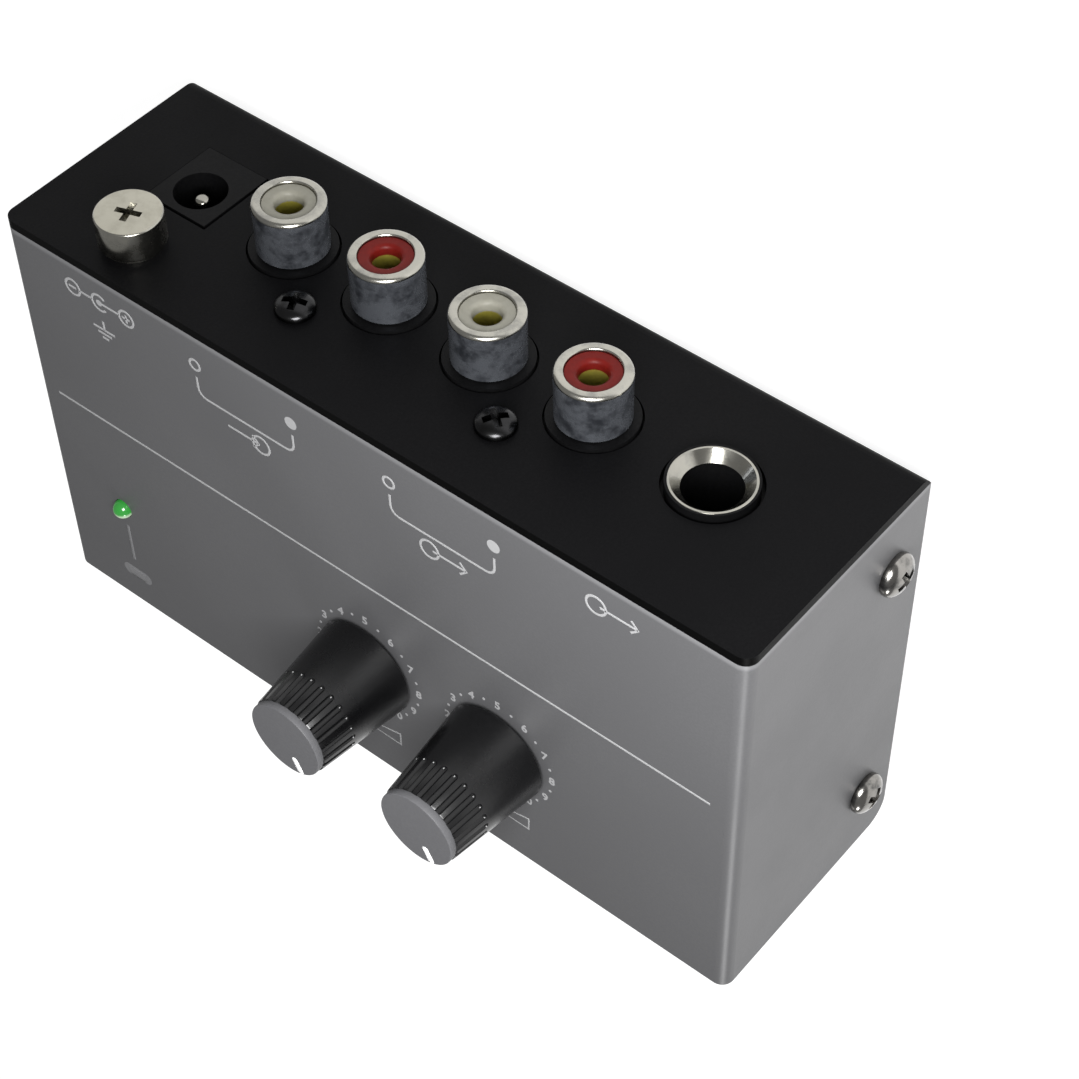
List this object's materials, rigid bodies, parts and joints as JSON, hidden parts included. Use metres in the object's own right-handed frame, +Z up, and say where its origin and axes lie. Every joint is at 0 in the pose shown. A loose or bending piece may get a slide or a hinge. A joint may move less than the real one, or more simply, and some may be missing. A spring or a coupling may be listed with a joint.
{
  "type": "phono preamp",
  "caption": "Small metal-cased phono preamp with phono and stereo sockets at the rear, a ground screw, a power socket and two control knobs.",
  "frame": {"origin": "on the surface that the feet stand on, under the middle of the whole object's extent, jacks counted in", "axes": "+X right along the labelled face, +Y to the rear, out of the sockets, +Z up, out of the labelled face that carries the knobs"},
  "size_m": [0.1068, 0.0648, 0.0476],
  "materials": {
    "gray_paint": "fine satin gray paint on sheet steel",
    "black_paint": "satin black paint on sheet steel",
    "nickel": "bright nickel plate",
    "black_rubber": "matte rubber",
    "chrome": "polished chrome",
    "black_screw": "black oxide",
    "black_plastic": "moulded black plastic",
    "black_knob": "satin to gloss moulded plastic",
    "gray_cap": "satin gray plastic",
    "white_pointer": "white plastic",
    "white_insulator": "off-white plastic",
    "red_insulator": "red plastic",
    "brass": "plain brass",
    "green_board": "glass-fibre board with solder mask",
    "steel": "tinned or zinc-plated steel",
    "blue_can": "sleeved can",
    "film_red": "dipped film capacitor",
    "resistor_tan": "coated resistor",
    "green_lamp": "diffused lamp lens, lit"
  },
  "bodies": {
    "case": {"amplifier_chips": "black_plastic", "board_screws": "steel", "board_spacers": "brass", "centre_contacts": "brass", "chassis": "black_paint", "cover_screws": "nickel", "electrolytic_capacitors": "blue_can", "film_capacitors": "film_red", "ground_bush": "brass", "ground_tag": "steel", "input_jack_block": "black_plastic", "input_left_insulator": "white_insulator", "input_left_shell": "nickel", "input_right_insulator": "red_insulator", "input_right_shell": "nickel", "jack_block_screws": "black_screw", "jack_terminals": "steel", "lamp_leads": "steel", "lamp_spacer": "white_pointer", "level_bushing": "steel", "level_pot_body": "black_plastic", "main_board": "green_board", "output_jack_block": "black_plastic", "output_left_insulator": "white_insulator", "output_left_shell": "nickel", "output_right_insulator": "red_insulator", "output_right_shell": "nickel", "power_lamp": "green_lamp", "power_socket_body": "black_plastic", "power_socket_pin": "chrome", "power_socket_terminals": "steel", "resistors": "resistor_tan", "rubber_feet": "black_rubber", "stereo_jack_body": "black_plastic", "stereo_jack_ring": "chrome", "stereo_jack_springs": "steel", "top_cover": "gray_paint", "voltage_regulator": "black_plastic", "volume_bushing": "steel", "volume_pot_body": "black_plastic"},
    "level_control": {"level_shaft": "steel", "level_knob": "black_knob", "level_knob_key": "black_plastic", "level_knob_cap": "gray_cap", "level_pointer": "white_pointer"},
    "volume_control": {"volume_shaft": "steel", "volume_knob": "black_knob", "volume_knob_key": "black_plastic", "volume_knob_cap": "gray_cap", "volume_pointer": "white_pointer"},
    "ground_washer_body": {"ground_washer": "nickel"},
    "ground_screw_body": {"ground_screw": "nickel"}
  },
  "joints": [
    {"name": "level_turn", "type": "hinge", "parent": "case", "child": "level_control", "pos_m": [0, -0.0142, 0.04], "axis": [0, 0, 1], "range_deg": [0, 300]},
    {"name": "volume_turn", "type": "hinge", "parent": "case", "child": "volume_control", "pos_m": [0.0194, -0.0142, 0.04], "axis": [0, 0, 1], "range_deg": [0, 300]},
    {"name": "ground_travel", "type": "slide", "parent": "case", "child": "ground_washer_body", "axis": [0, 1, 0], "range_m": [0, 0.0028]},
    {"name": "ground_turn", "type": "hinge", "parent": "ground_washer_body", "child": "ground_screw_body", "pos_m": [-0.0366, 0.0276, 0.0275], "axis": [0, 1, 0], "range_deg": [0, 1440]}
  ],
  "couplings": [
    {"joint": "ground_turn", "follows": "ground_travel", "rad_per_m": 8976}
  ]
}
